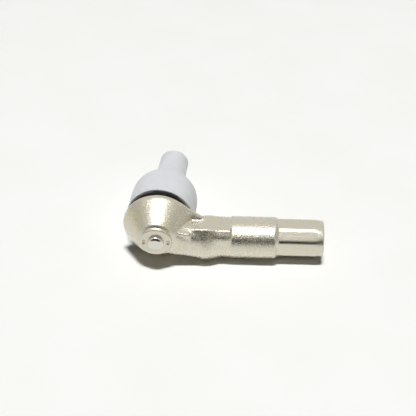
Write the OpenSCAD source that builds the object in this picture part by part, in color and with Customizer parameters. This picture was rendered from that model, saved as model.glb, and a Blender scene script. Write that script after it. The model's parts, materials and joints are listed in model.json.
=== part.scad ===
// Tie rod end: a ball joint housing with an offset, internally threaded arm,
// lying on its side with its transport cap on. Millimetres, +Z up, floor at z = 0.
// +X runs along the thread axis, +Y along the ball joint's axis towards the stud.
// Sections along the joint axis are drawn as [radius, height], with height 0 at
// the ball's centre.

/* [Housing] */
// Radius of the flange, which is also the height of the ball above the floor
flange_r = 20.8; // [20:0.1:22]
// Width of the straight land round the flange
land_w = 2.7; // [1:0.1:4]
// Height of the flange's face above the ball's centre
flange_h = 3; // [2:0.1:3.2]
// Depth of the closed end's face below the ball's centre
end_depth = 15.5; // [15:0.1:17]
// Radius of the raised disc on the closed end
disc_r = 9; // [8:0.1:10]
// Radius of the collar that carries the boot
collar_r = 16.2; // [15.8:0.1:16.4]
// Radius at the bottom of the boot's groove
groove_r = 15.3; // [15:0.1:15.5]

/* [Arm] */
// Radius of the round part of the arm, which rests on the floor
arm_r = 12.5; // [12:0.05:13]
// Distance from the joint axis to the start of the round part
arm_start = 43; // [41:0.5:46]
// Distance from the joint axis to the shoulder of the wrench section
shoulder_x = 68.4; // [64:0.1:72]
// Distance from the joint axis to the arm's end face
arm_end = 97.4; // [92:0.1:104]
// Width across the flats of the eight-sided wrench section
wrench_af = 22; // [21:0.1:24]
// Distance of the thread axis from the ball's centre, towards the stud
thread_offset = 2.2; // [0:0.1:4]
// Nominal radius of the internal thread
thread_r = 8; // [7:0.5:8]
// Length of the internal thread
thread_len = 41; // [30:1:44]

/* [Ball stud] */
// Radius of the ball
ball_r = 11; // [10.5:0.1:11]
// Radius of the neck above the ball
neck_r = 6.2; // [5.5:0.1:6.5]
// Radius at the large end of the 1:10 taper
taper_r = 8; // [7.6:0.1:8]
// Height of the taper's large end above the ball's centre
taper_h = 23; // [22:0.5:25]
// Nominal radius of the stud's thread
stud_r = 7; // [6:0.5:7]
// Height of the stud's tip above the ball's centre
stud_tip = 65; // [60:0.5:67]
// Lean of the stud towards the arm, in degrees
stud_yaw = 3.8; // [0:0.1:5]
// Droop of the stud, which lays the cap on the floor, in degrees
stud_droop = 1.3; // [0:0.1:1.3]

/* [Boot and cap] */
// Outer radius of the boot's bulge, which is centred on the ball
boot_r = 20.3; // [20:0.1:20.4]
// Thickness of the boot's wall
boot_wall = 1.7; // [1.2:0.1:1.9]
// Outer radius of the cap's bell
bell_r = 20.2; // [20.2:0.1:20.4]
// Wall thickness of the cap
cap_wall = 1; // [0.8:0.1:1]
// Height of the bell's rim above the ball's centre
rim_h = 7.8; // [7.6:0.1:9]
// Height of the bell's dome centre above the ball's centre
dome_h = 25.1; // [23:0.1:27]
// Outer radius of the cap's tube
tube_r = 9.3; // [9:0.1:10.5]
// Height of the tube's closed end above the ball's centre
tube_end = 70.7; // [69:0.1:75]

/* [Hidden] */
$fn = 96;
HULL_FN = 32;   // fineness of the shapes that are blended with hull()
CUT = 1;        // how far a cutting shape runs past the face that it cuts

// Radial gap of a running fit, and gap between parts that only lie together
run_gap = 0.05;
lay_gap = 0.1;

// Cavity that holds the two seats, coned at its lower end like the head outside
bore_r = 12.8;
bore_bottom = -12.4;
bore_foot_r = 7.6;
bore_cone_top = -5.1;
seat_top = 5.9;
seat_split = 0;
ring_bore_r = 14.2;
ring_top = 8.2;
ring_hole_r = 10.5;
collar_top = 9.3;
groove_low = 4.2;
groove_high = 7.2;

// Disc on the closed end, and the plug in it
disc_step = 1.2;
plug_shank_r = 3;
plug_head_r = 4.7;
plug_proud = 2.5;
plug_flat_r = 2.6;
dimple_r = 0.9;
dimple_at = 7;

// Arm: heights are taken from the floor
thread_z = arm_r;
round_y = 1.7;
elbow_x = 28;
elbow_r = 12.6;
elbow_y = 0.4;
waist_x = 37;
waist_r = 12.15;
waist_y = 2.1;
web_r = 7;
web_drop = 1;
web_depth = end_depth - 2.2;
rib_r = 8.6;
rib_end = 19.4;
rib_y = -3.2;
rib_z = 0.5;
neck_x = 10;
neck_step = 0.8;
gusset_from = 12.9;
gusset_from_r = 2.4;
gusset_to = [26, -0.5];
gusset_to_z = [-16.8, 5.2];
gusset_to_r = 3.6;
relief_r = 24.3;
end_r = wrench_af / 2 - 0.34;
end_cone_angle = 10;
cone_rise = 2.6;
cone_len = cone_rise / tan(end_cone_angle);
drill_r = thread_r - 0.8;
drill_extra = 3;
mouth_chamfer = 0.8;
slice = 0.4;

// Stud
ball_flat = -10.2;
land_low = 17;
taper_len = 18;
relief_len = 2;
tip_chamfer = 0.9;
socket_af = 6;
socket_depth = 6;

// Boot: where the bulge meets the lower bead and the top bead
bead_low = groove_low + lay_gap;
bead_high = groove_high - lay_gap;
bead_r = 17.9;
clamp_wire_r = 0.55;
lower_clamp_r = 17.95;
lower_clamp_h = 5.9;
lip_low = 16.1;
lip_high = 22;
lip_r = 10.9;
insert_r = 9.25;
upper_clamp_h = 19.6;

// The row's origin is at the centre of the outline's underside
x_low = -flange_r;
y_low = -end_depth - plug_proud;
y_high = tube_end * cos(stud_yaw) * cos(stud_droop) + (tube_r - 1) * sin(stud_yaw);
ball_at = [-(x_low + arm_end) / 2, -(y_low + y_high) / 2, flange_r];

zinc = [0.78, 0.77, 0.72];
bright_steel = [0.72, 0.73, 0.75];
phosphate = [0.24, 0.24, 0.25];
acetal = [0.93, 0.92, 0.88];
black_rubber = [0.06, 0.06, 0.06];
milky_plastic = [0.92, 0.93, 0.94];

// ---- Frames -------------------------------------------------------------

// Puts its children at the ball's centre, in the row's directions
module at_ball() { translate(ball_at) children(); }

// Turns a section's height axis to the joint's axis, which runs along +Y
module housing_frame() { at_ball() rotate([-90, 0, 0]) children(); }

// The same, leaning with the stud as it lies
module stud_frame()
    at_ball() rotate([-stud_droop, 0, -stud_yaw]) rotate([-90, 0, 0]) children();

// Turns its children's height axis to the thread axis, from the joint's axis
module thread_frame()
    translate([ball_at[0], ball_at[1] + thread_offset, thread_z])
        rotate([0, 90, 0]) children();

// ---- Shared shapes ------------------------------------------------------

// A ring with a flat underside and top
module ring(outer, inner, low, high)
    rotate_extrude()
        translate([inner, low]) square([outer - inner, high - low]);

// A ring of round wire
module wire_ring(radius, height, wire)
    translate([0, 0, height])
        rotate_extrude() translate([radius, 0]) circle(r = wire, $fn = 24);

// A short upright slice of round bar on the arm's path
module arm_slice(x, y, radius)
    translate([x, y, radius - flange_r])
        rotate([0, 90, 0]) cylinder(r = radius, h = slice, center = true, $fn = HULL_FN);

// ---- Housing ------------------------------------------------------------

module head_outline()
    rotate_extrude()
        polygon([
            [0, -end_depth], [disc_r - 0.7, -end_depth], [disc_r, -end_depth + 0.5],
            [disc_r + 0.3, -end_depth + disc_step], [disc_r + 1.6, -end_depth + disc_step + 0.4],
            [flange_r - 0.5, flange_h - land_w - 0.6], [flange_r, flange_h - land_w],
            [flange_r, flange_h - 0.3], [flange_r - 0.3, flange_h],
            [collar_r, flange_h], [collar_r, groove_low], [groove_r, groove_low],
            [groove_r, groove_high], [collar_r, groove_high], [collar_r, ring_top],
            [collar_r - 0.8, collar_top], [0, collar_top]]);

module head_cavity()
    rotate_extrude()
        polygon([
            [0, bore_bottom], [bore_foot_r, bore_bottom], [bore_r, bore_cone_top],
            [bore_r, seat_top],
            [ring_bore_r, seat_top], [ring_bore_r, ring_top],
            [ring_bore_r - 1.4, ring_top], [ring_bore_r - 1.8, collar_top + CUT],
            [0, collar_top + CUT]]);

module elbow()
    translate([elbow_x, elbow_y, elbow_r - flange_r]) sphere(r = elbow_r, $fn = HULL_FN);

// Web that joins the flange's edge to the elbow, above or below the arm's middle
module gusset(side)
    hull() {
        translate([gusset_from, flange_h - 0.2, side * gusset_from]) rotate([90, 0, 0])
            cylinder(r = gusset_from_r, h = land_w, $fn = HULL_FN);
        translate([gusset_to[0], gusset_to[1], side < 0 ? gusset_to_z[0] : gusset_to_z[1]])
            sphere(r = gusset_to_r, $fn = HULL_FN);
    }

// The bent part of the arm, from the closed end to the round part
module arm_bend() {
    hull() {
        translate([0, -web_depth, -web_drop]) rotate([-90, 0, 0])
            cylinder(r = web_r, h = web_r, $fn = HULL_FN);
        elbow();
    }
    hull() {
        elbow();
        arm_slice(waist_x, waist_y, waist_r);
    }
    hull() {
        arm_slice(waist_x, waist_y, waist_r);
        arm_slice(arm_start, round_y, arm_r - 0.3);
    }
    gusset(1);
    gusset(-1);
    // the bar itself, from inside the cone to the elbow, with a thicker root
    hull() {
        translate([neck_x, rib_y, rib_z]) rotate([0, 90, 0])
            cylinder(r = rib_r - neck_step, h = slice, $fn = HULL_FN);
        elbow();
    }
    translate([0, rib_y, rib_z]) rotate([0, 90, 0]) cylinder(r = rib_r, h = rib_end);
}

// The straight part of the arm: round, then eight-sided with its end's corners cut back
module arm_straight()
    thread_frame() {
        translate([0, round_y - thread_offset, arm_start])
            cylinder(r = arm_r, h = shoulder_x - arm_start);
        intersection() {
            translate([0, 0, shoulder_x - CUT]) rotate([0, 0, 22.5])
                cylinder(d = wrench_af / cos(22.5), h = arm_end - shoulder_x + CUT, $fn = 8);
            // many-sided cone that cuts the corners back towards the end face
            hull() {
                translate([0, 0, shoulder_x - 2 * CUT])
                    cylinder(r = end_r + cone_rise, h = arm_end - shoulder_x - cone_len, $fn = 64);
                translate([0, 0, arm_end - slice]) cylinder(r = end_r, h = slice, $fn = 64);
            }
        }
    }

module thread_hole()
    thread_frame() rotate_extrude()
        polygon([
            [0, arm_end - thread_len - drill_extra - drill_r / 2],
            [drill_r, arm_end - thread_len - drill_extra],
            [drill_r, arm_end - thread_len], [thread_r, arm_end - thread_len],
            [thread_r, arm_end - mouth_chamfer],
            [thread_r + mouth_chamfer + CUT, arm_end + CUT], [0, arm_end + CUT]]);

module housing()
    color(zinc) difference() {
        union() {
            housing_frame() head_outline();
            difference() {
                at_ball() arm_bend();
                // face milled round the flange, so that the stud can swing
                housing_frame() translate([0, 0, flange_h]) cylinder(r = relief_r, h = 40);
            }
            arm_straight();
        }
        housing_frame() head_cavity();
        housing_frame() translate([0, 0, -end_depth - CUT])
            cylinder(r = plug_shank_r, h = end_depth + bore_bottom + 2 * CUT);
        for (side = [-1, 1])
            housing_frame() translate([side * dimple_at, 0, -end_depth - 0.3])
                sphere(r = dimple_r);
        thread_hole();
    }

// Plug pressed into the middle of the closed end, with a domed head
module bottom_plug()
    color(bright_steel) housing_frame() rotate_extrude()
        polygon(concat(
            [[0, bore_bottom], [plug_shank_r, bore_bottom], [plug_shank_r, -end_depth],
             [plug_head_r, -end_depth]],
            [for (a = [0:15:90])
                [plug_flat_r + (plug_head_r - plug_flat_r) * cos(a),
                 -end_depth - (plug_proud - 1) - sin(a)]],
            [[0, -end_depth - plug_proud]]));

// ---- Bearing ------------------------------------------------------------

// A seat is turned from a section that runs from its foot to its top, less the ball
module seat(foot_r, foot, cone_top, top)
    color(acetal) housing_frame() difference() {
        rotate_extrude()
            polygon([[0, foot], [foot_r - run_gap, foot], [bore_r - run_gap, cone_top],
                     [bore_r - run_gap, top], [0, top]]);
        sphere(r = ball_r + run_gap);
    }

module lower_seat()
    seat(bore_foot_r, bore_bottom + lay_gap, bore_cone_top + lay_gap, seat_split - lay_gap / 2);

module upper_seat()
    seat(bore_r - lay_gap, seat_split + lay_gap / 2, seat_split + lay_gap, seat_top - lay_gap);

module closing_ring()
    color(phosphate) housing_frame() ring(ring_bore_r, ring_hole_r, seat_top, ring_top);

module ball_stud()
    color(bright_steel) stud_frame() difference() {
        union() {
            intersection() {
                sphere(r = ball_r);
                translate([0, 0, ball_flat]) cylinder(r = ball_r + CUT, h = 2 * ball_r);
            }
            rotate_extrude() polygon([
                [0, 0], [neck_r, 0], [neck_r, land_low - 5], [taper_r, land_low],
                [taper_r, taper_h], [taper_r - taper_len / 20, taper_h + taper_len],
                [stud_r - 1, taper_h + taper_len], [stud_r - 1, taper_h + taper_len + relief_len],
                [stud_r, taper_h + taper_len + relief_len + 1], [stud_r, stud_tip - tip_chamfer],
                [stud_r - tip_chamfer, stud_tip], [0, stud_tip]]);
        }
        translate([0, 0, stud_tip - socket_depth])
            cylinder(d = socket_af / cos(30), h = socket_depth + CUT, $fn = 6);
    }

// ---- Boot ---------------------------------------------------------------

// The bulge is centred on the ball, so its lower end can follow the housing
// and its top end the stud.
module boot()
    color(black_rubber) {
        housing_frame() rotate_extrude() polygon([
            [groove_r + lay_gap, bead_low], [bead_r, bead_low], [bead_r, bead_low + 0.6],
            [bead_r - 0.6, bead_low + 1], [bead_r - 0.6, bead_high - 0.6],
            [boot_r - 1.6, bead_high + 0.1], [boot_r - 1.6, bead_high + 0.7],
            [collar_r + 0.9, bead_high + 0.7], [collar_r + 0.2, bead_high],
            [groove_r + lay_gap, bead_high]]);
        difference() {
            union() {
                difference() {
                    at_ball() sphere(r = boot_r);
                    at_ball() sphere(r = boot_r - boot_wall);
                    housing_frame() translate([0, 0, bead_high + 0.2 - 2 * boot_r])
                        cylinder(r = boot_r + CUT, h = 2 * boot_r);
                    stud_frame() translate([0, 0, lip_low + 1])
                        cylinder(r = boot_r, h = boot_r);
                }
                stud_frame() translate([0, 0, lip_low])
                    cylinder(r = lip_r, h = lip_high - lip_low);
            }
            stud_frame() cylinder(r = insert_r + run_gap, h = lip_high + CUT);
        }
    }

module boot_lower_clamp()
    color(bright_steel) housing_frame() wire_ring(lower_clamp_r, lower_clamp_h, clamp_wire_r);

module boot_upper_clamp()
    color(bright_steel) stud_frame()
        wire_ring(lip_r + clamp_wire_r + run_gap, upper_clamp_h, clamp_wire_r);

module boot_lip_insert()
    color(phosphate) stud_frame() ring(insert_r, taper_r + run_gap, land_low + 0.3, lip_high - 0.3);

// ---- Transport cap ------------------------------------------------------

module protective_cap()
    color(milky_plastic) stud_frame() difference() {
        bell_solid(bell_r, tube_r, tube_end);
        translate([0, 0, -CUT]) cylinder(r = bell_r - cap_wall, h = rim_h + 2 * CUT);
        bell_solid(bell_r - cap_wall, tube_r - cap_wall, tube_end - cap_wall);
    }

// Exact solid of the bell and its tube
module bell_solid(bell, tube, top) {
    translate([0, 0, rim_h]) cylinder(r = bell, h = dome_h - rim_h);
    intersection() {
        translate([0, 0, dome_h]) sphere(r = bell);
        translate([0, 0, dome_h]) cylinder(r = bell + CUT, h = bell + CUT);
    }
    translate([0, 0, dome_h]) cylinder(r = tube, h = top - dome_h);
}

housing();
bottom_plug();
lower_seat();
upper_seat();
closing_ring();
ball_stud();
boot();
boot_lower_clamp();
boot_upper_clamp();
boot_lip_insert();
protective_cap();
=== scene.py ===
import json
import math

import bpy
import numpy as np
import openvdb
from mathutils import Matrix, Quaternion, Vector


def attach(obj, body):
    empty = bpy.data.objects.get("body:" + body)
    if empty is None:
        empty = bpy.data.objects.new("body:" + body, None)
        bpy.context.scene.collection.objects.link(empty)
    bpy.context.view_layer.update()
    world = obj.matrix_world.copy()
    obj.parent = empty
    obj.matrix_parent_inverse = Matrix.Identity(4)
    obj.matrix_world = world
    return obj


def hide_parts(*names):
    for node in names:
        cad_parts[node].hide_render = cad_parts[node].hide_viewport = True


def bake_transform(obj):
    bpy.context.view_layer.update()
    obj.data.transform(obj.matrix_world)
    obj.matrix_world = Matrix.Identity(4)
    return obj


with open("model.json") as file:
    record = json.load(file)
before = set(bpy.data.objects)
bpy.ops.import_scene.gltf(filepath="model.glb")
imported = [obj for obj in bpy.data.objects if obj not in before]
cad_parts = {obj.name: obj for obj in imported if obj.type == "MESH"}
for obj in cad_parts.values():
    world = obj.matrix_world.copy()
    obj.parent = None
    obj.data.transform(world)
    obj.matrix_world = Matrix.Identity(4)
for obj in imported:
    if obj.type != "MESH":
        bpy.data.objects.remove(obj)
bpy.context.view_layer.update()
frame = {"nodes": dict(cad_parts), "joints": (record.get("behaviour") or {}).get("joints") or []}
mm = 0.001

# Every piece is drawn in millimetres from the ball's centre: x along the arm, y towards
# the stud, z up. The joints give the centre and the way the stud lies.
joints = {joint["name"]: joint for joint in frame["joints"]}
ballCentre = Vector(joints["swing_side"]["pos_m"])
studAxis = Vector(joints["stud_spin"]["axis"]).normalized()
jointAxis = Vector((0, 1, 0))
restLean = jointAxis.rotation_difference(studAxis)
floorHeight = -ballCentre.z / mm

# A section's height axis, z, is laid along the joint's axis; the thread's along x.
housingFrame = Matrix.Translation(ballCentre) @ Matrix.Rotation(math.radians(-90), 4, "X")
studFrame = Matrix.Translation(ballCentre) @ restLean.to_matrix().to_4x4() @ Matrix.Rotation(
    math.radians(-90), 4, "X")


def linear(hexColour):
    channels = [int(hexColour[i:i + 2], 16) / 255 for i in (1, 3, 5)]
    curved = [c / 12.92 if c <= 0.04045 else ((c + 0.055) / 1.055) ** 2.4 for c in channels]
    return (*curved, 1.0)


def addNode(tree, kind, inputs=None, **settings):
    node = tree.nodes.new(kind)
    for name, value in settings.items():
        setattr(node, name, value)
    for name, value in (inputs or {}).items():
        socket = node.inputs[name]
        if isinstance(value, bpy.types.NodeSocket):
            tree.links.new(value, socket)
        else:
            socket.default_value = value
    return node


def newMaterial(name, **surface):
    material = bpy.data.materials.new(name)
    material.use_nodes = True
    shader = material.node_tree.nodes["Principled BSDF"]
    for socket, value in surface.items():
        shader.inputs[socket.replace("_", " ")].default_value = value
    return material, material.node_tree, shader


def millimetres(tree):
    where = addNode(tree, "ShaderNodeTexCoord")
    scaled = addNode(tree, "ShaderNodeMapping", {
        "Vector": where.outputs["Object"], "Scale": (1000, 1000, 1000)})
    return scaled.outputs["Vector"]


def noiseOf(tree, place, size, detail=2.0, rough=0.5, distort=0.0):
    noise = addNode(tree, "ShaderNodeTexNoise", {
        "Vector": place, "Scale": 1 / size, "Detail": detail, "Roughness": rough, "Distortion": distort})
    return noise.outputs["Fac"]


def ramp(tree, factor, stops):
    node = addNode(tree, "ShaderNodeValToRGB", {"Fac": factor})
    elements = node.color_ramp.elements
    while len(elements) < len(stops):
        elements.new(0.5)
    for element, (position, colour) in zip(elements, stops):
        element.position = position
        element.color = colour
    return node.outputs["Color"]


# Bright zinc plating on a shot-blasted forging. The blasted skin shows as a fine sparkle at
# the edge of each highlight, and the thin clear passivation tints it faintly cream, green and
# rose. Faces that were machined before plating are smoother.
zincFinish = {
    "tints": ("#D3CCB5", "#CDCCBE", "#D5CCBE", "#C9CBBA"),
    "tintSize": 9.0,       # mm across a patch of tint
    "grain": 1.0,          # mm, the blasted grain drawn a little coarse so that it shows
    "fineGrain": 0.28,     # mm
    "forgedRoughness": (0.2, 0.33),
    "machinedRoughness": 0.2,
    "grainHeight": 0.095,  # mm
}


def zincPlatedSteel():
    material, tree, shader = newMaterial("zincPlatedForging", Metallic=1.0)
    place = millimetres(tree)
    tone = noiseOf(tree, place, zincFinish["tintSize"], 3, 0.55, 0.6)
    tints = [linear(h) for h in zincFinish["tints"]]
    colour = ramp(tree, tone, list(zip((0.36, 0.46, 0.55, 0.66), tints)))
    machined = addNode(tree, "ShaderNodeAttribute", attribute_name="machined").outputs["Fac"]
    grain = noiseOf(tree, place, zincFinish["grain"], 2, 0.6)
    fine = noiseOf(tree, place, zincFinish["fineGrain"], 1, 0.5)
    low, high = zincFinish["forgedRoughness"]
    forgedRough = addNode(tree, "ShaderNodeMapRange", {
        "Value": grain, "From Min": 0.3, "From Max": 0.7, "To Min": low, "To Max": high}).outputs["Result"]
    roughness = addNode(tree, "ShaderNodeMix", {
        "Factor": machined, "A": forgedRough, "B": zincFinish["machinedRoughness"]}, data_type="FLOAT")
    bumps = addNode(tree, "ShaderNodeMath", {0: grain, 1: fine}, operation="ADD").outputs["Value"]
    strength = addNode(tree, "ShaderNodeMapRange", {
        "Value": machined, "To Min": 1.0, "To Max": 0.25}).outputs["Result"]
    bump = addNode(tree, "ShaderNodeBump", {
        "Height": bumps, "Strength": strength, "Distance": zincFinish["grainHeight"] * mm})
    tree.links.new(colour, shader.inputs["Base Color"])
    tree.links.new(roughness.outputs["Result"], shader.inputs["Roughness"])
    tree.links.new(bump.outputs["Normal"], shader.inputs["Normal"])
    return material


# Turned, ground or polished steel: fine rings round the axis, with a light wear haze.
def turnedSteel(name, colour, roughness, ringSpacing, ringHeight):
    material, tree, shader = newMaterial(name, Metallic=1.0)
    shader.inputs["Base Color"].default_value = linear(colour)
    place = millimetres(tree)
    haze = noiseOf(tree, place, 3.0, 3, 0.6)
    rough = addNode(tree, "ShaderNodeMapRange", {
        "Value": haze, "To Min": roughness * 0.7, "To Max": roughness * 1.4}).outputs["Result"]
    stretched = addNode(tree, "ShaderNodeMapping", {
        "Vector": place, "Scale": (0.02, 1, 0.02)}).outputs["Vector"]
    rings = addNode(tree, "ShaderNodeTexNoise", {
        "Vector": stretched, "Scale": 1 / ringSpacing, "Detail": 1}).outputs["Fac"]
    bump = addNode(tree, "ShaderNodeBump", {"Height": rings, "Strength": 0.6, "Distance": ringHeight * mm})
    tree.links.new(rough, shader.inputs["Roughness"])
    tree.links.new(bump.outputs["Normal"], shader.inputs["Normal"])
    return material


# Manganese phosphate: a matt dark grey crystal coat.
def phosphatedSteel():
    material, tree, shader = newMaterial("phosphatedSteel", Metallic=0.75, Roughness=0.55)
    place = millimetres(tree)
    crystals = noiseOf(tree, place, 0.25, 2, 0.6)
    tree.links.new(ramp(tree, crystals, [(0.35, linear("#3B3C3E")), (0.7, linear("#55565A"))]),
                   shader.inputs["Base Color"])
    bump = addNode(tree, "ShaderNodeBump", {"Height": crystals, "Strength": 0.5, "Distance": 0.03 * mm})
    tree.links.new(bump.outputs["Normal"], shader.inputs["Normal"])
    return material


# Natural low-density polyethylene, blow-moulded thin: milky, waxy, light passes into it.
def milkyPolyethylene():
    material, tree, shader = newMaterial(
        "milkyPolyethylene", IOR=1.51, Subsurface_Weight=0.55, Subsurface_Scale=0.004,
        Transmission_Weight=0.12)
    shader.inputs["Subsurface Radius"].default_value = (1.0, 0.95, 0.9)
    place = millimetres(tree)
    cloud = noiseOf(tree, place, 14.0, 2, 0.5)
    tree.links.new(ramp(tree, cloud, [(0.3, linear("#E9EAEC")), (0.7, linear("#F3F2F0"))]),
                   shader.inputs["Base Color"])
    wax = noiseOf(tree, place, 1.6, 3, 0.55)
    rough = addNode(tree, "ShaderNodeMapRange", {"Value": wax, "To Min": 0.34, "To Max": 0.5})
    tree.links.new(rough.outputs["Result"], shader.inputs["Roughness"])
    bump = addNode(tree, "ShaderNodeBump", {"Height": wax, "Strength": 0.35, "Distance": 0.06 * mm})
    tree.links.new(bump.outputs["Normal"], shader.inputs["Normal"])
    return material


# Moulded chloroprene rubber: near black, with a fine moulded texture and a dull sheen.
def mouldedRubber():
    material, tree, shader = newMaterial("blackChloroprene", IOR=1.52, Specular_IOR_Level=0.35)
    place = millimetres(tree)
    skin = noiseOf(tree, place, 0.5, 3, 0.6)
    tree.links.new(ramp(tree, skin, [(0.3, linear("#151412")), (0.75, linear("#24221F"))]),
                   shader.inputs["Base Color"])
    rough = addNode(tree, "ShaderNodeMapRange", {"Value": skin, "To Min": 0.42, "To Max": 0.62})
    tree.links.new(rough.outputs["Result"], shader.inputs["Roughness"])
    bump = addNode(tree, "ShaderNodeBump", {"Height": skin, "Strength": 0.4, "Distance": 0.04 * mm})
    tree.links.new(bump.outputs["Normal"], shader.inputs["Normal"])
    return material


# Natural acetal bearing plastic: dense ivory, a little greasy.
def naturalAcetal():
    material, tree, shader = newMaterial("naturalAcetal", IOR=1.48, Subsurface_Weight=0.15,
                                         Subsurface_Scale=0.001)
    place = millimetres(tree)
    film = noiseOf(tree, place, 2.5, 3, 0.6)
    tree.links.new(ramp(tree, film, [(0.3, linear("#E6E0CF")), (0.7, linear("#F1EDE2"))]),
                   shader.inputs["Base Color"])
    rough = addNode(tree, "ShaderNodeMapRange", {"Value": film, "To Min": 0.2, "To Max": 0.42})
    tree.links.new(rough.outputs["Result"], shader.inputs["Roughness"])
    return material


zinc = zincPlatedSteel()
polished = turnedSteel("polishedPlugSteel", "#D8D6CE", 0.11, 0.5, 0.004)
ground = turnedSteel("groundStudSteel", "#C9CBCD", 0.2, 0.25, 0.012)
springWire = turnedSteel("drawnSpringWire", "#A9ABAE", 0.3, 0.3, 0.006)
phosphate = phosphatedSteel()
polyethylene = milkyPolyethylene()
rubber = mouldedRubber()
acetal = naturalAcetal()
print("materials ready")


def meshObject(name, points, faces, material, placing=None, sharpAngle=None):
    mesh = bpy.data.meshes.new(name)
    mesh.from_pydata([tuple(p) for p in points], [], faces)
    if placing is not None:
        mesh.transform(placing @ Matrix.Scale(mm, 4))
    mesh.materials.append(material)
    mesh.validate()
    mesh.shade_smooth()
    if sharpAngle:
        mesh.set_sharp_from_angle(angle=math.radians(sharpAngle))
    piece = bpy.data.objects.new(name, mesh)
    bpy.context.scene.collection.objects.link(piece)
    return piece


# A section's corner points are (radius, height, fillet); each fillet becomes an arc.
def rounded(corners):
    points = []
    steps = 6
    for i, (radial, height, fillet) in enumerate(corners):
        here = Vector((radial, height))
        if fillet == 0 or i in (0, len(corners) - 1):
            points.append(here)
            continue
        back = Vector(corners[i - 1][:2]) - here
        on = Vector(corners[i + 1][:2]) - here
        half = back.angle(on) / 2
        if half > math.radians(88):      # almost straight on
            points.append(here)
            continue
        reach = min(fillet / math.tan(half), back.length * 0.49, on.length * 0.49)
        start = here + back.normalized() * reach
        end = here + on.normalized() * reach
        radius = reach * math.tan(half)
        centre = here + (back.normalized() + on.normalized()).normalized() * radius / math.sin(half)
        first = start - centre
        turn = first.angle_signed(end - centre)
        for k in range(steps + 1):
            step = first.copy()
            step.rotate(Matrix.Rotation(-turn * k / steps, 2))
            points.append(centre + step)
    return points


def arcPoints(centreHeight, radius, fromDegrees, toDegrees, steps):
    span = toDegrees - fromDegrees
    angles = [math.radians(fromDegrees + span * k / steps) for k in range(steps + 1)]
    return [Vector((radius * math.sin(a), centreHeight + radius * math.cos(a))) for a in angles]


# Turns a section round the height axis. Points on the axis become single poles.
def lathed(section, segments, closed=False, bend=None):
    points = []
    rings = []
    for radial, height in section:
        if radial < 1e-6:
            rings.append([len(points)])
            points.append(Vector((0, 0, height)))
            continue
        rings.append(list(range(len(points), len(points) + segments)))
        for k in range(segments):
            a = 2 * math.pi * k / segments
            points.append(Vector((radial * math.cos(a), radial * math.sin(a), height)))
    if bend:
        points = [bend(p) for p in points]
    faces = []
    pairs = list(zip(rings, rings[1:])) + ([(rings[-1], rings[0])] if closed else [])
    for low, high in pairs:
        for k in range(segments):
            n = (k + 1) % segments
            if len(low) == 1:
                faces.append((low[0], high[n], high[k]))
            elif len(high) == 1:
                faces.append((low[k], low[n], high[0]))
            else:
                faces.append((low[k], low[n], high[n], high[k]))
    if meshVolume(points, faces) < 0:
        faces = [f[::-1] for f in faces]
    return points, faces


def meshVolume(points, faces):
    total = 0.0
    for f in faces:
        for i in range(1, len(f) - 1):
            total += points[f[0]].dot(points[f[i]].cross(points[f[i + 1]]))
    return total / 6


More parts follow.
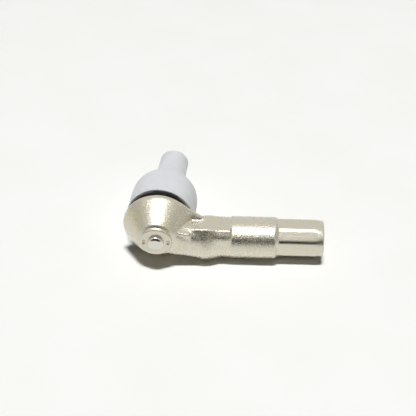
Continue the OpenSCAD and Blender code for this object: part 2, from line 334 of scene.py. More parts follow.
# Its surface is where a distance field is zero: bars, discs and cones are joined with
# fillets, as a forging die joins them, and the machined faces are then cut sharp. Each hull
# runs between two drums, given as x, y, z, radius, half length and rounding.
housingShape = {
    "grid": 0.5,                    # mm between samples
    "gridMargin": 2.2,              # samples beyond the housing on each side
    "flangeRadius": 20.8, "flangeTop": 3.0, "landWidth": 2.7,
    "coneInset": (0.4, 0.3),        # from the land's lower edge, inwards and down
    "coneFoot": (1.6, 0.4),         # from the disc's edge, outwards and up
    "endDepth": 15.5, "discRadius": 9.0, "discStep": 1.2, "discDraft": 0.25, "discRoot": -8,
    "collarRadius": 16.2, "collarTop": 9.3, "grooveRadius": 15.3, "grooveFrom": 4.2, "grooveTo": 7.2,
    "boreRadius": 12.8, "boreFrom": -12.4, "boreFoot": 7.6, "boreConeTop": -5.1,
    "ringSeat": 5.9, "ringBore": 14.2, "ringTop": 8.2, "lip": 12.6, "seatOverlap": 0.5,
    "armRadius": 12.5, "roundY": 1.7, "armFrom": 43.0, "shoulder": 68.4, "armEnd": 97.4,
    "armOffset": 2.2, "wrenchHalf": 11.0, "wrenchBlend": 2.6, "wrenchFlare": 0.9, "wrenchCurve": 1.6,
    "endRadius": 10.66, "endConeSlope": math.tan(math.radians(10)),
    "threadRadius": 8.0, "threadLength": 41.0, "mouth": 0.8, "mouthDepth": 3,
    "drillRadius": 7.2, "drillPast": 3, "drillCone": 0.5,
    "reliefRadius": 24.3,
    "dimpleRadius": 1.2, "dimpleAt": 7.0, "dimpleSunk": 0.25, "dimpleSquash": 0.8,
    "elbow": (28.0, 0.4, 12.6),     # x, y, radius; it stands on the floor
    "webStart": (0, -9.8, -1.6, 6.6, 2.9, 0.8),
    "neckStart": (9, -3.2, -1.5, 0, 0, 6.5),
    "rootTop": (11.0, -12, 4.9),    # x, y and z of its front edge
    "rootFall": 0.21, "rootRise": 0.1,    # down along x, up with y
    "rootFront": -12.1, "rootBack": 4.5, "rootUnder": -8, "rootMiddle": 9, "rootHalf": 10.5,
    "gussetStart": (12.9, 1.4, 12.9, 1.6, 0.6, 0.8),
    "gussetEnds": ((26, -0.5, -16.8, 0, 0, 3.6), (28, 1.6, 2.2, 1.6, 0.6, 0.8)),
    # the waisted bar, elbow to round part: where along x, radius, y
    "bar": ((24.0, 12.1, -1.0), (28.0, 12.6, 0.4), (32.5, 12.35, 1.6), (37.0, 12.15, 2.1),
            (40.0, 12.1, 2.0), (43.0, 12.2, 1.7)),
    "barOverlap": 1,
    "elbowFrom": 19.7, "elbowTo": 33.0, "elbowFront": -11.8, "elbowBack": 4.6, "elbowUnder": -9,
    "topAt": (-7.8, 4.7), "topTilt": 1.0,    # y and z, degrees
    "slopeAt": (-9.8, 2.05), "slopeTilts": (60.0, 52.0), "slopeTurn": (2, 3),
    "elbowFade": 1.0, "fadeBefore": 4, "fadeLength": 5, "fadeMost": 1.3,
    "rippleSpacing": 1.9, "rippleDepth": 0.13, "rippleAt": 38.5, "rippleReach": 6.4, "rippleFade": 4.0,
    "swellDepth": 0.07,
    "swell": ((0.41, 1.3), (0.37, 0.0), (0.33, 0.7)),    # radians per mm and start, for x, y and z
    "machined": {"wrench": 0.75, "head": 1.0, "disc": 0.6}, "headTo": 20.9,
    # how round each outside edge is, mm
    "edges": {
        "coneFoot": 1.2, "land": 1.3, "flange": 1.4, "disc": 0.9, "collar": 2.0, "groove": 0.3,
        "rootFront": 0.8, "rootBack": 4.0, "root": 3.0, "rootEnds": 0.5,
        "ridge": 0.25, "elbowFront": 1.5, "elbowBack": 5.0, "elbowUnder": 0.5, "elbowEnds": 0.8,
        "relief": 0.4, "octagon": 1.6, "shoulder": 0.5, "armCone": 0.35, "armEnd": 0.35,
        "armStart": 0.8, "thread": 0.2, "openings": 0.25, "dimple": 0.3,
    },
    # the fillet where each shape meets the ones before it, mm
    "fillets": {
        "disc": 0.9, "collar": 0.5, "neck": 2.0, "root": 0.5, "gusset": 0.8, "bar": 2.0, "elbow": 0.8,
        "bend": 1.1, "arm": 0.6,
    },
}


def joined(a, b, fillet):
    if fillet <= 0:
        return np.minimum(a, b)
    h = np.clip(0.5 + 0.5 * (b - a) / fillet, 0, 1)
    return b * (1 - h) + a * h - fillet * h * (1 - h)


def kept(a, b, edge):
    return -joined(-a, -b, edge)


def drum(radial, along, radius, half):
    dr = radial - radius
    da = np.abs(along) - half
    return np.minimum(np.maximum(dr, da), 0) + np.hypot(np.maximum(dr, 0), np.maximum(da, 0))


# Hull of two drums that lie along y. A ball is a drum with only its rounding.
def hullOfDrums(x, y, z, first, last):
    field = np.full(x.shape, 1e3, np.float32)
    for t in np.linspace(0, 1, 14):
        cx, cy, cz, radius, half, rounding = [a + (b - a) * t for a, b in zip(first, last)]
        field = np.minimum(field, drum(np.hypot(x - cx, z - cz), y - cy, radius, half) - rounding)
    return field


# How far a value lies outside the span between two ends.
def outside(value, start, end):
    return np.abs(value - (start + end) / 2) - (end - start) / 2


def smoothed(field):
    for axis in range(3):
        ahead = np.roll(field, -1, axis)
        behind = np.roll(field, 1, axis)
        field = 0.25 * ahead + 0.5 * field + 0.25 * behind
    return field


def headField(x, y, z, s):
    edge, fillet = s["edges"], s["fillets"]
    r = np.hypot(x, z)
    inwards, down = s["coneInset"]
    outwards, up = s["coneFoot"]
    edgeRadius, edgeHeight = s["flangeRadius"] - inwards, s["flangeTop"] - s["landWidth"] - down
    footRadius, footHeight = s["discRadius"] + outwards, -s["endDepth"] + s["discStep"] + up
    slope = Vector((edgeRadius - footRadius, edgeHeight - footHeight)).normalized()
    cone = (r - footRadius) * slope.y - (y - footHeight) * slope.x
    body = kept(cone, -(y - footHeight), edge["coneFoot"])
    body = kept(body, r - s["flangeRadius"], edge["land"])
    body = kept(body, y - s["flangeTop"], edge["flange"])
    disc = kept(r - s["discRadius"] - s["discDraft"], -(y + s["endDepth"]), edge["disc"])
    disc = np.maximum(disc, y - s["discRoot"])
    body = joined(body, disc, fillet["disc"])
    collar = kept(r - s["collarRadius"], y - s["collarTop"], edge["collar"])
    collar = np.maximum(collar, -y)
    groove = np.maximum(s["grooveRadius"] - r, outside(y, s["grooveFrom"], s["grooveTo"]))
    collar = kept(collar, -groove, edge["groove"])
    return joined(body, collar, fillet["collar"])


# The thick root of the bar has a flat sloping top, and ends in a small step.
def rootField(x, y, z, s):
    edge = s["edges"]
    topX, topY, topZ = s["rootTop"]
    rise = s["rootRise"]
    lid = (z - topZ + s["rootFall"] * (x - topX) - (y - topY) * rise) * math.cos(math.atan(rise))
    front = kept(lid, s["rootFront"] - y, edge["rootFront"])
    back = kept(y - s["rootBack"], s["rootUnder"] - z, edge["rootBack"])
    root = kept(front, back, edge["root"])
    return kept(root, np.abs(x - s["rootMiddle"]) - s["rootHalf"], edge["rootEnds"])


# The elbow's upper half has a flat top and a sloping face in front, and fades into the waist.
def elbowField(x, y, z, s):
    edge = s["edges"]
    (topY, topZ), (faceY, faceZ) = s["topAt"], s["slopeAt"]
    before, after = s["slopeTurn"]
    lift = math.radians(s["topTilt"])
    slope = np.radians(np.interp(x, (s["elbowTo"] - before, s["elbowTo"] + after), s["slopeTilts"]))
    fade = s["elbowFade"] * np.clip(
        (x - s["elbowTo"] + s["fadeBefore"]) / s["fadeLength"], 0, s["fadeMost"])
    top = (z - topZ) * math.cos(lift) - (y - topY) * math.sin(lift) + fade
    face = (z - faceZ) * np.cos(slope) - (y - faceY) * np.sin(slope) + fade
    block = kept(kept(top, face, edge["ridge"]), s["elbowFront"] - y + fade, edge["elbowFront"])
    block = kept(block, y - s["elbowBack"], edge["elbowBack"])
    block = kept(block, s["elbowUnder"] - z, edge["elbowUnder"])
    return kept(block, outside(x, s["elbowFrom"], s["armFrom"]), edge["elbowEnds"])


def bendField(x, y, z, s):
    fillet = s["fillets"]
    elbowX, elbowY, elbowRadius = s["elbow"]
    elbow = (elbowX, elbowY, floorHeight + elbowRadius, 0, 0, elbowRadius)
    web = hullOfDrums(x, y, z, s["webStart"], elbow)
    neck = hullOfDrums(x, y, z, s["neckStart"], elbow)
    field = joined(joined(web, neck, fillet["neck"]), rootField(x, y, z, s), fillet["root"])
    startX, startY, startZ, *drumSizes = s["gussetStart"]
    for end in s["gussetEnds"]:
        start = (startX, startY, math.copysign(startZ, end[2]), *drumSizes)
        field = joined(field, hullOfDrums(x, y, z, start, end), fillet["gusset"])
    stations, radii, offsets = zip(*s["bar"])
    radius = np.interp(x, stations, radii)
    bar = np.hypot(y - np.interp(x, stations, offsets), z - floorHeight - radius) - radius
    bar = np.maximum(bar, outside(x, elbowX, s["armFrom"]) - s["barOverlap"])
    field = joined(field, bar, fillet["bar"])
    field = smoothed(joined(field, elbowField(x, y, z, s), fillet["elbow"]))
    share = np.clip((s["rippleReach"] - np.abs(x - s["rippleAt"])) / s["rippleFade"], 0, 1)
    ripple = np.cos(2 * np.pi * x / s["rippleSpacing"]) * share
    alongX, alongY, alongZ = [
        np.sin(axis * rate + start) for axis, (rate, start) in zip((x, y, z), s["swell"])]
    return field + s["rippleDepth"] * ripple + s["swellDepth"] * (alongX * alongY * alongZ)


def straightField(x, y, z, s):
    edge = s["edges"]
    v = y - s["armOffset"]
    w = z - floorHeight - s["armRadius"]
    r = np.hypot(v, w)
    run = np.clip((s["shoulder"] + s["wrenchBlend"] - x) / s["wrenchBlend"], 0, 1)
    flare = s["armRadius"] + s["wrenchFlare"] - s["wrenchHalf"]
    half = s["wrenchHalf"] + flare * run ** s["wrenchCurve"]
    square = np.maximum(np.abs(v), np.abs(w))
    diamond = np.maximum(np.abs(v + w), np.abs(v - w)) * math.sqrt(0.5)
    flats = kept(square, diamond, edge["octagon"]) - half
    arm = kept(np.hypot(y - s["roundY"], w) - s["armRadius"], flats, edge["shoulder"])
    arm = kept(arm, r - s["endRadius"] - (s["armEnd"] - x) * s["endConeSlope"], edge["armCone"])
    arm = kept(arm, x - s["armEnd"], edge["armEnd"])
    arm = kept(arm, s["armFrom"] - x, edge["armStart"])
    threadFrom = s["armEnd"] - s["threadLength"]
    hole = kept(r - s["threadRadius"], threadFrom - x, edge["thread"])
    mouth = r - s["threadRadius"] - s["mouth"] - (x - s["armEnd"])
    mouth = np.maximum(mouth, s["armEnd"] - s["mouthDepth"] - x)
    drill = r - s["drillRadius"]
    drill = np.maximum(drill, (threadFrom - s["drillPast"] - x) + drill * s["drillCone"])
    return arm, np.minimum(np.minimum(hole, mouth), drill)


# The ball's chamber: bore with a conical foot, seat for the closing ring, and mouth.
def cavityField(y, r, s):
    bore = np.maximum(r - s["boreRadius"], s["boreFrom"] - y)
    bore = np.maximum(bore, y - s["ringSeat"] - s["seatOverlap"])
    foot = Vector((s["boreConeTop"] - s["boreFrom"], s["boreRadius"] - s["boreFoot"])).normalized()
    bore = np.maximum(bore, (r - s["boreFoot"]) * foot.x - (y - s["boreFrom"]) * foot.y)
    ringSeat = np.maximum(r - s["ringBore"], outside(y, s["ringSeat"], s["ringTop"]))
    mouth = np.maximum(r - s["lip"], s["ringSeat"] - y)
    return np.minimum(np.minimum(bore, ringSeat), mouth)


def housingField(x, y, z, s):
    edge, fillet = s["edges"], s["fillets"]
    r = np.hypot(x, z)
    # the face milled round the flange, so that the stud can swing
    relief = np.maximum(s["flangeTop"] - y, r - s["reliefRadius"])
    bend = kept(bendField(x, y, z, s), -relief, edge["relief"])
    arm, hole = straightField(x, y, z, s)
    solid = joined(joined(headField(x, y, z, s), bend, fillet["bend"]), arm, fillet["arm"])
    solid = kept(solid, -cavityField(y, r, s), edge["openings"])
    solid = kept(solid, -hole, edge["openings"])
    for side in (1, -1):
        dent = np.sqrt((x - side * s["dimpleAt"]) ** 2 + (y + s["endDepth"] + s["dimpleSunk"]) ** 2
                       + (z * s["dimpleSquash"]) ** 2)
        solid = kept(solid, s["dimpleRadius"] - dent, edge["dimple"])
    return np.maximum(solid, floorHeight - z)


# Slopes of the field at the mesh's points, blended from the eight samples round each.
def fieldNormals(field, corners):
    slopes = np.gradient(field)
    cell = np.clip(np.floor(corners).astype(int), 0, np.array(field.shape) - 2)
    part = corners - cell
    normals = np.zeros_like(corners)
    for offset in np.ndindex(2, 2, 2):
        weight = np.prod(np.where(offset, part, 1 - part), axis=1)
        place = tuple((cell + offset).T)
        normals += weight[:, None] * np.stack([g[place] for g in slopes], 1)
    return normals


# 1 on faces that are turned or milled after forging, 0 on the forged skin.
def machinedShare(points, s):
    x, y, z = points.T
    r = np.hypot(x, z)
    margin = 0.2
    onHead = (y > s["flangeTop"] - s["landWidth"] + margin) & (r < s["flangeRadius"] + margin / 2)
    onHead &= x < s["headTo"]
    onWrench = x > s["shoulder"] + s["wrenchBlend"]
    onDisc = (y < -s["endDepth"] + 3 * margin) & (r < s["discRadius"] + 2 * margin)
    parts = zip((onWrench, onHead, onDisc), [s["machined"][part] for part in ("wrench", "head", "disc")])
    return np.clip(sum(np.where(on, share, 0.0) for on, share in parts), 0, 1).astype(np.float32)


def makeHousing(s):
    step = s["grid"]
    margin = s["gridMargin"] * step
    low = np.array((-s["flangeRadius"], -s["endDepth"], floorHeight)) - margin
    high = np.array((s["armEnd"], s["armOffset"] + s["armRadius"], s["flangeRadius"])) + margin
    counts = np.ceil((high - low) / step).astype(int) + 1
    axes = [np.float32(start + step * np.arange(count)) for start, count in zip(low, counts)]
    field = housingField(*np.meshgrid(*axes, indexing="ij"), s).astype(np.float32)
    grid = openvdb.FloatGrid()
    grid.background = 3.0
    grid.copyFromArray(field)
    corners, quads = grid.convertToQuads(0.0)
    normals = fieldNormals(field, corners)
    points = low + corners * step
    faces = [tuple(int(i) for i in q) for q in quads]
    a, b, c = (points[quads[:, i]] for i in (0, 1, 2))
    facing = (np.cross(b - a, c - a) * normals[quads[:, 0]]).sum()
    if facing < 0:
        faces = [f[::-1] for f in faces]
    piece = meshObject("housingForging", points, faces, zinc, Matrix.Translation(ballCentre))
    lengths = np.maximum(np.linalg.norm(normals, axis=1), 1e-6)
    piece.data.normals_split_custom_set_from_vertices([tuple(n) for n in normals / lengths[:, None]])
    mark = piece.data.attributes.new("machined", "FLOAT", "POINT")
    mark.data.foreach_set("value", machinedShare(points, s))
    return piece


housing = makeHousing(housingShape)
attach(housing, "housing")
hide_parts("housing")
print("housing ready:", len(housing.data.polygons), "faces")


plugShape = {"shank": 3.0, "head": 4.7, "proud": 2.5, "flat": 2.6, "dish": 0.12, "inside": -12.4}


def makePlug(s):
    end = -housingShape["endDepth"]
    top = end - s["proud"]
    section = rounded([
        (0, s["inside"], 0), (s["shank"], s["inside"], 0.3), (s["shank"], end + 0.2, 0),
        (s["head"], end + 0.2, 0), (s["head"], top + 0.9, 1.1), (s["flat"] + 0.5, top, 0.8),
        (s["flat"] - 0.4, top + s["dish"], 0.4), (0, top + s["dish"], 0)])
    points, faces = lathed(section, 96)
    return meshObject("closedEndPlug", points, faces, polished, housingFrame, 50)


plug = makePlug(plugShape)
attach(plug, "housing")
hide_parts("bottom_plug")


def coilTree():
    tree = bpy.data.node_groups.new("coilOfWire", "GeometryNodeTree")
    face = tree.interface
    for name, kind in (("Radius", "Float"), ("Rise", "Float"), ("Turns", "Float"), ("Wire", "Float"),
                       ("Sides", "Int"), ("Steps", "Int"), ("Runout", "Float"), ("Finish", "Material")):
        face.new_socket(name=name, in_out="INPUT", socket_type="NodeSocket" + kind)
    face.new_socket(name="Geometry", in_out="OUTPUT", socket_type="NodeSocketGeometry")
    given = addNode(tree, "NodeGroupInput").outputs
    helix = addNode(tree, "GeometryNodeCurveSpiral", {
        "Resolution": given["Steps"], "Rotations": given["Turns"], "Start Radius": given["Radius"],
        "End Radius": given["Radius"], "Height": given["Rise"], "Reverse": False}).outputs["Curve"]
    upright = addNode(tree, "GeometryNodeSetCurveNormal", {"Curve": helix}, mode="Z_UP").outputs["Curve"]
    # the section shrinks to nothing over the runout at each end
    along = addNode(tree, "GeometryNodeSplineParameter").outputs["Factor"]
    fromMiddle = addNode(tree, "ShaderNodeMath", {0: along, 1: 0.5}, operation="SUBTRACT")
    spread = addNode(tree, "ShaderNodeMath", {0: fromMiddle.outputs["Value"]}, operation="ABSOLUTE")
    nearEnd = addNode(tree, "ShaderNodeMath", {0: 0.5, 1: spread.outputs["Value"]}, operation="SUBTRACT")
    size = addNode(tree, "ShaderNodeMapRange", {
        "Value": nearEnd.outputs["Value"], "From Min": 0.0, "From Max": given["Runout"],
        "To Min": 0.15, "To Max": 1.0}).outputs["Result"]
    section = addNode(tree, "GeometryNodeCurvePrimitiveCircle", {
        "Resolution": given["Sides"], "Radius": given["Wire"]}).outputs["Curve"]
    swept = addNode(tree, "GeometryNodeCurveToMesh", {
        "Curve": upright, "Profile Curve": section, "Scale": size, "Fill Caps": True}).outputs["Mesh"]
    real = addNode(tree, "GeometryNodeRealizeInstances", {"Geometry": swept}).outputs["Geometry"]
    done = addNode(tree, "GeometryNodeSetMaterial", {"Geometry": real, "Material": given["Finish"]})
    addNode(tree, "NodeGroupOutput", {"Geometry": done.outputs["Geometry"]})
    return tree


coils = coilTree()


def makeCoil(name, placing, smoothAngle, values):
    holder = bpy.data.objects.new(name + "Source", bpy.data.meshes.new(name + "Source"))
    bpy.context.scene.collection.objects.link(holder)
    modifier = holder.modifiers.new("coil", "NODES")
    modifier.node_group = coils
    for item in coils.interface.items_tree:
        if item.in_out == "INPUT":
            modifier[item.identifier] = values[item.name]
    bpy.context.view_layer.update()
    evaluated = holder.evaluated_get(bpy.context.evaluated_depsgraph_get())
    mesh = bpy.data.meshes.new_from_object(evaluated)
    holder.modifiers.remove(modifier)
    bpy.data.objects.remove(holder)
    mesh.transform(placing @ Matrix.Scale(mm, 4))
    mesh.name = name
    mesh.shade_smooth()
    mesh.set_sharp_from_angle(angle=math.radians(smoothAngle))
    piece = bpy.data.objects.new(name, mesh)
    bpy.context.scene.collection.objects.link(piece)
    return piece


# The arm's female thread: the ridge stands inward from the bore.
socketThread = {"pitch": 1.5, "depth": 0.72, "sunk": 0.02, "margin": 1.2, "runout": 0.02}


def makeSocketThread(s):
    h = housingShape
    length = h["threadLength"] - 2 * s["margin"]
    start = Vector((h["armEnd"] - h["threadLength"] + s["margin"], h["armOffset"],
                    floorHeight + h["armRadius"]))
    placing = Matrix.Translation(ballCentre + start * mm) @ Matrix.Rotation(math.radians(90), 4, "Y")
    return makeCoil("socketThreadTurns", placing, 30, {
        "Radius": h["threadRadius"] + s["sunk"], "Rise": length, "Turns": length / s["pitch"],
        "Wire": s["depth"], "Sides": 4, "Steps": 40, "Runout": s["runout"], "Finish": zinc})


threadPiece = makeSocketThread(socketThread)
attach(threadPiece, "housing")

# Each clamp is two close turns of spring wire.
clampShape = {
    "wire": 0.29, "turns": 2.1, "closeness": 0.98, "runout": 0.002, "bite": 0.2,
    "lower": (17.95, 5.9), "upper": (11.5, 19.6),    # radius, height
}


def makeClamp(s, name, placing, seat):
    radius, height = seat
    rise = 2 * s["wire"] * s["turns"] * s["closeness"]
    lowered = placing @ Matrix.Translation((0, 0, (height - rise / 2) * mm))
    return makeCoil(name, lowered, 60, {
        "Radius": radius - s["bite"], "Rise": rise, "Turns": s["turns"], "Wire": s["wire"],
        "Sides": 10, "Steps": 96, "Runout": s["runout"], "Finish": springWire})


lowerClamp = makeClamp(clampShape, "lowerClampCoil", housingFrame, clampShape["lower"])
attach(lowerClamp, "housing")
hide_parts("boot_lower_clamp")
upperClamp = makeClamp(clampShape, "upperClampCoil", studFrame, clampShape["upper"])
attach(upperClamp, "boot_top")
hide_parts("boot_upper_clamp")
print("threads and clamps ready")


studShape = {
    "ball": 11.0, "ballFlat": -10.2, "neck": 6.2, "taper": 8.0, "taperFrom": 17.0, "taperTo": 23.0,
    "taperLength": 18.0, "relief": 6.0, "thread": 7.0, "core": 6.15, "tip": 65.0, "chamfer": 0.9,
    "taperFall": 1 / 20, "hexAcross": 6.0, "hexDepth": 6.0, "pitch": 1.5, "threadDepth": 0.82, "runout": 0.05,
}


def makeStud(s):
    flatAngle = math.degrees(math.acos(s["ballFlat"] / s["ball"]))
    neckAngle = math.degrees(math.asin(s["neck"] / s["ball"]))
    ball = arcPoints(0, s["ball"], flatAngle, neckAngle, 48)
    reliefFrom = s["taperTo"] + s["taperLength"]
    smallEnd = s["taper"] - s["taperLength"] * s["taperFall"]
    upper = rounded([
        (ball[-1].x, ball[-1].y, 0), (s["neck"], ball[-1].y + 1.2, 2.0), (s["neck"], s["taperFrom"] - 5, 4.0),
        (s["taper"], s["taperFrom"], 2.0), (s["taper"], s["taperTo"], 4.0), (smallEnd, reliefFrom, 0.4),
        (s["relief"], reliefFrom + 0.5, 0.3), (s["relief"], reliefFrom + 2, 0.3),
        (s["core"], reliefFrom + 2.6, 0.2), (s["core"], s["tip"] - 0.8, 0.2),
        (s["core"] - 0.7, s["tip"], 0.2), (0, s["tip"], 0)])
    section = [Vector((0, s["ballFlat"]))] + ball + upper[1:]
    points, faces = lathed(section, 96)
    stud = meshObject("ballStudTurned", points, faces, ground, studFrame, 40)
    # hexagon socket for holding the stud while its nut is turned
    corners = [Vector((math.cos(math.radians(60 * k)), math.sin(math.radians(60 * k)), 0))
               * s["hexAcross"] / math.sqrt(3) for k in range(6)]
    low = s["tip"] - s["hexDepth"]
    prism = [c + Vector((0, 0, low)) for c in corners] + [c + Vector((0, 0, s["tip"] + 1)) for c in corners]
    sides = [(k, (k + 1) % 6, (k + 1) % 6 + 6, k + 6) for k in range(6)]
    ends = [(5, 4, 3, 2, 1, 0), (6, 7, 8, 9, 10, 11)]
    hexagon = meshObject("hexagonTool", prism, ends + sides, ground, studFrame)
    cut = stud.modifiers.new("hexagon", "BOOLEAN")
    cut.operation = "DIFFERENCE"
    cut.object = hexagon
    bpy.context.view_layer.update()
    evaluated = stud.evaluated_get(bpy.context.evaluated_depsgraph_get())
    stud.data = bpy.data.meshes.new_from_object(evaluated)
    stud.modifiers.clear()
    stud.data.shade_smooth()
    stud.data.set_sharp_from_angle(angle=math.radians(40))
    bpy.data.objects.remove(hexagon)
    return stud


def makeStudThread(s):
    low = s["taperTo"] + s["taperLength"] + 2.4
    length = s["tip"] - s["chamfer"] - low
    placing = studFrame @ Matrix.Translation((0, 0, low * mm))
    return makeCoil("studThreadTurns", placing, 30, {
        "Radius": s["thread"] - s["threadDepth"], "Rise": length, "Turns": length / s["pitch"],
        "Wire": s["threadDepth"], "Sides": 4, "Steps": 40, "Runout": s["runout"], "Finish": ground})


stud = makeStud(studShape)
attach(stud, "stud")
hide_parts("ball_stud")
studThread = makeStudThread(studShape)
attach(studThread, "stud")
print("stud ready")


# A bulge centred on the ball, in two shells that meet in a fold. The lower shell sits on the housing's axis
# at its bead; the upper one is bent over so that its lip lies along the stud.
bootShape = {
    "outer": 20.3, "wall": 1.4, "bead": (15.4, 17.9, 4.3, 7.1), "clampNotch": (17.3, 5.1, 6.7),
    "lip": (9.3, 10.9, 16.1, 22.0), "lipNotch": (10.5, 18.9, 20.3),
    # degrees from the joint's axis
    "foldAt": 50.0, "folds": (41.5, 50.0, 58.5), "foldDepth": 0.42, "foldWidth": 3.0,
    "beadMeets": (68.6, 66.0),
    # heights on the two axes, a low and a high one for each shell
    "lowerBend": (7.3, 11.4), "upperBend": (12.9, 16.0),
}


def bootWallRadius(degrees, s):
    dip = sum(math.exp(-((degrees - at) / s["foldWidth"]) ** 2) for at in s["folds"])
    return s["outer"] - s["foldDepth"] * dip


def bootArc(fromDegrees, toDegrees, inward, s):
    points = []
    steps = 30
    for k in range(steps + 1):
        degrees = fromDegrees + (toDegrees - fromDegrees) * k / steps
        radius = bootWallRadius(degrees, s) - inward
        a = math.radians(degrees)
        points.append(Vector((radius * math.sin(a), radius * math.cos(a))))
    return points


def makeBootLower(s):
    inner, outer, low, high = s["bead"]
    notchR, notchLow, notchHigh = s["clampNotch"]
    bead = rounded([
        (inner, high, 0.2), (inner, low, 0.3), (outer, low, 0.3), (outer, notchLow - 0.2, 0.15),
        (notchR, notchLow, 0.2), (notchR, notchHigh, 0.3)])
    outerWall = bootArc(s["beadMeets"][0], s["foldAt"], 0, s)
    innerWall = bootArc(s["foldAt"], s["beadMeets"][1], s["wall"], s)
    points, faces = lathed(bead + outerWall + innerWall, 144, closed=True)
    return meshObject("bootLowerShell", points, faces, rubber, housingFrame, 45)


def makeBootUpper(s):
    hole, lip, low, high = s["lip"]
    notchR, notchLow, notchHigh = s["lipNotch"]
    outerMeet = math.degrees(math.asin(lip / s["outer"]))
    innerMeet = math.degrees(math.asin((lip - 0.2) / (s["outer"] - s["wall"])))
    outerWall = bootArc(s["foldAt"], outerMeet + 3, 0, s)
    lipPart = rounded([
        (lip, low + 1.6, 0), (lip, notchLow - 0.3, 0.2), (notchR, notchLow, 0.2), (notchR, notchHigh, 0.2),
        (lip, notchHigh + 0.3, 0.2), (lip, high, 0.5), (hole, high, 0.3), (hole, low, 0.3),
        (lip - 0.6, low, 0)])
    innerWall = bootArc(innerMeet + 2, s["foldAt"], s["wall"], s)
    section = outerWall + lipPart + innerWall
    upright = Quaternion()
    toSection = Matrix.Rotation(math.radians(-90), 3, "X")

    def lean(point):
        degrees = math.degrees(math.acos(max(-1.0, min(1.0, point.z / point.length))))
        share = max(0.0, min(1.0, (s["foldAt"] - degrees) / (s["foldAt"] - outerMeet - 3)))
        share = share * share * (3 - 2 * share)
        turned = toSection @ point
        turned.rotate(upright.slerp(restLean, share))
        return turned

    points, faces = lathed(section, 144, closed=True, bend=lean)
    return meshObject("bootUpperShell", points, faces, rubber, Matrix.Translation(ballCentre), 45)


bootLower = makeBootLower(bootShape)
bootUpper = makeBootUpper(bootShape)
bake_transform(bootLower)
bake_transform(bootUpper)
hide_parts("boot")
print("boot ready")


capShape = {
    "bell": 20.2, "wall": 1.0, "rim": 8.5, "rimRound": 0.42, "domeAt": 25.1,
    "tube": 9.3, "tubeDraft": 0.25, "tubeFillet": 2.2, "tubeEnd": 70.7, "endRound": 1.3, "gate": 0.5,
}


def makeCap(s):
    def wallLine(bell, tube, end, dip):
        meet = math.degrees(math.asin(tube / bell))
        dome = arcPoints(s["domeAt"], bell, 90, meet + 4, 28)
        shoulder = s["domeAt"] + math.sqrt(bell ** 2 - tube ** 2)
        top = rounded([
            (dome[-1].x, dome[-1].y, 0), (tube, shoulder + 0.4, s["tubeFillet"]),
            (tube - s["tubeDraft"], end, s["endRound"]),
            (2.2, end, 0.3), (1.8, end - dip, 0.2), (0, end - dip, 0)])
        return dome, top[1:]

    bell, wall = s["bell"], s["wall"]
    outerDome, outerTop = wallLine(bell, s["tube"], s["tubeEnd"], s["gate"])
    innerDome, innerTop = wallLine(bell - wall, s["tube"] - wall, s["tubeEnd"] - wall, 0.0)
    rim = rounded([(bell, s["rim"] + 2, 0), (bell, s["rim"], s["rimRound"]),
                   (bell - wall, s["rim"], s["rimRound"]), (bell - wall, s["rim"] + 2, 0)])
    section = (outerDome + outerTop)[::-1] + rim + innerDome + innerTop
    points, faces = lathed(section, 160)
    return meshObject("capMoulding", points, faces, polyethylene, studFrame, 60)


cap = makeCap(capShape)
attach(cap, "cap")
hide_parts("protective_cap")
print("cap ready")

# CAD nodes that stay: the bearing inside and the steel ring in the boot's lip
for nodeName, finish in (("lower_seat", acetal), ("upper_seat", acetal), ("closing_ring", phosphate),
                         ("boot_lip_insert", phosphate)):
    node = frame["nodes"][nodeName]
    node.data.materials.clear()
    node.data.materials.append(finish)


tableShape = {"width": 4.0, "tints": ("#F6F4EE", "#F9F7F2"), "tintSize": 60.0}    # m, then mm


def makeTable(s):
    material, tree, shader = newMaterial("paintedTable", Roughness=0.6, Specular_IOR_Level=0.2)
    place = millimetres(tree)
    tone = noiseOf(tree, place, s["tintSize"], 3, 0.5)
    dull, bright = [linear(h) for h in s["tints"]]
    tree.links.new(ramp(tree, tone, [(0.3, dull), (0.7, bright)]), shader.inputs["Base Color"])
    half = s["width"] / 2
    points = [(-half, -half, 0), (half, -half, 0), (half, half, 0), (-half, half, 0)]
    table = meshObject("tableTop", points, [(0, 1, 2, 3)], material)


makeTable(tableShape)

# A small softbox overhead lights the table and the part and gives the sharp contact shadow. The
# plating mirrors a strip softbox that hangs further to the front, a pale room behind and above
# and a dark room behind the camera. Each lamp works either in reflections or in diffuse light.
studio = {
    "distance": 5.0, "lampColour": "#FAFCFF",
    "spotTilt": 9.0, "spotSize": (1.0, 0.5), "spotPower": 260.0,
    "stripTilt": 16.5, "stripSize": (2.2, 1.25), "stripPower": 95.0,
    "fillHeight": 2.2, "fillSize": (3.2, 3.2), "fillPower": 0.6,
    "backRoom": "#F1F0EC", "frontRoom": "#2E2C28", "sideRoom": "#CFCCC4", "backdrop": "#FBFAF6",
}


def makeSoftbox(name, size, power, colour, placing, inReflections):
    lamp = bpy.data.lights.new(name, "AREA")
    lamp.shape = "RECTANGLE"
    lamp.size, lamp.size_y = size
    lamp.energy = power
    lamp.color = linear(colour)[:3]
    softbox = bpy.data.objects.new(name, lamp)
    softbox.matrix_world = placing
    softbox.visible_glossy = inReflections
    softbox.visible_diffuse = not inReflections
    bpy.context.scene.collection.objects.link(softbox)


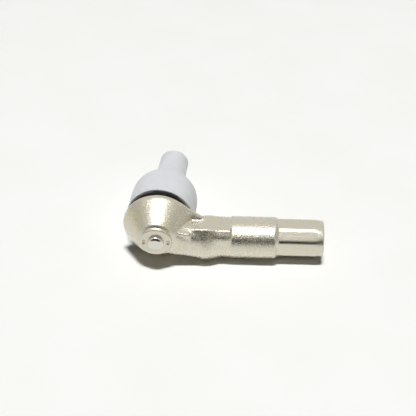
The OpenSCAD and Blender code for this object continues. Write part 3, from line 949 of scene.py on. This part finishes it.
def makeLight(s):
    for name, inReflections in (("spot", False), ("strip", True)):
        tilt = Matrix.Rotation(math.radians(s[name + "Tilt"]), 4, "X")
        placing = tilt @ Matrix.Translation((0, 0, s["distance"]))
        makeSoftbox(name + "Softbox", s[name + "Size"], s[name + "Power"], s["lampColour"], placing,
                    inReflections)
    makeSoftbox("roomFill", s["fillSize"], s["fillPower"], s["lampColour"],
                Matrix.Translation((0, 0, s["fillHeight"])), False)

    world = bpy.data.worlds.new("studioRoom")
    world.use_nodes = True
    world.cycles_visibility.diffuse = False
    tree = world.node_tree
    tree.nodes.clear()
    direction = addNode(tree, "ShaderNodeTexCoord").outputs["Generated"]
    parts = addNode(tree, "ShaderNodeSeparateXYZ", {"Vector": direction}).outputs
    towardsBack = addNode(tree, "ShaderNodeMapRange", {
        "Value": parts["Y"], "From Min": -0.9, "From Max": -0.6}, interpolation_type="SMOOTHSTEP")
    room = addNode(tree, "ShaderNodeMix", {
        "Factor": towardsBack.outputs["Result"], "A": linear(s["frontRoom"]), "B": linear(s["backRoom"])},
        data_type="RGBA").outputs["Result"]
    sideways = addNode(tree, "ShaderNodeMath", {0: parts["X"]}, operation="ABSOLUTE").outputs["Value"]
    sideShare = addNode(tree, "ShaderNodeMapRange", {
        "Value": sideways, "From Min": 0.55, "From Max": 0.9}, interpolation_type="SMOOTHSTEP")
    roomWithSides = addNode(tree, "ShaderNodeMix", {
        "Factor": sideShare.outputs["Result"], "A": room, "B": linear(s["sideRoom"])},
        data_type="RGBA").outputs["Result"]
    lit = addNode(tree, "ShaderNodeBackground", {"Color": roomWithSides})
    plain = addNode(tree, "ShaderNodeBackground", {"Color": linear(s["backdrop"])})
    seen = addNode(tree, "ShaderNodeLightPath").outputs["Is Camera Ray"]
    mixed = addNode(tree, "ShaderNodeMixShader", {
        0: seen, 1: lit.outputs["Background"], 2: plain.outputs["Background"]})
    addNode(tree, "ShaderNodeOutputWorld", {"Surface": mixed.outputs["Shader"]})
    bpy.context.scene.world = world


makeLight(studio)
bpy.context.scene.view_settings.view_transform = "Standard"

# The camera looks down on the closed end from in front of the arm.
cameraView = {"fromBall": (46.07, -399.23, 315.22), "down": 37.0, "left": 2.38, "lens": 74.94}


def makeCamera(s):
    lens = bpy.data.cameras.new("studioCamera")
    lens.lens = s["lens"]
    lens.clip_end = 50
    camera = bpy.data.objects.new("studioCamera", lens)
    camera.location = ballCentre + Vector(s["fromBall"]) * mm
    camera.rotation_euler = (math.radians(90 - s["down"]), 0, math.radians(s["left"]))
    bpy.context.scene.collection.objects.link(camera)
    bpy.context.scene.camera = camera


makeCamera(cameraView)
print("studio ready")
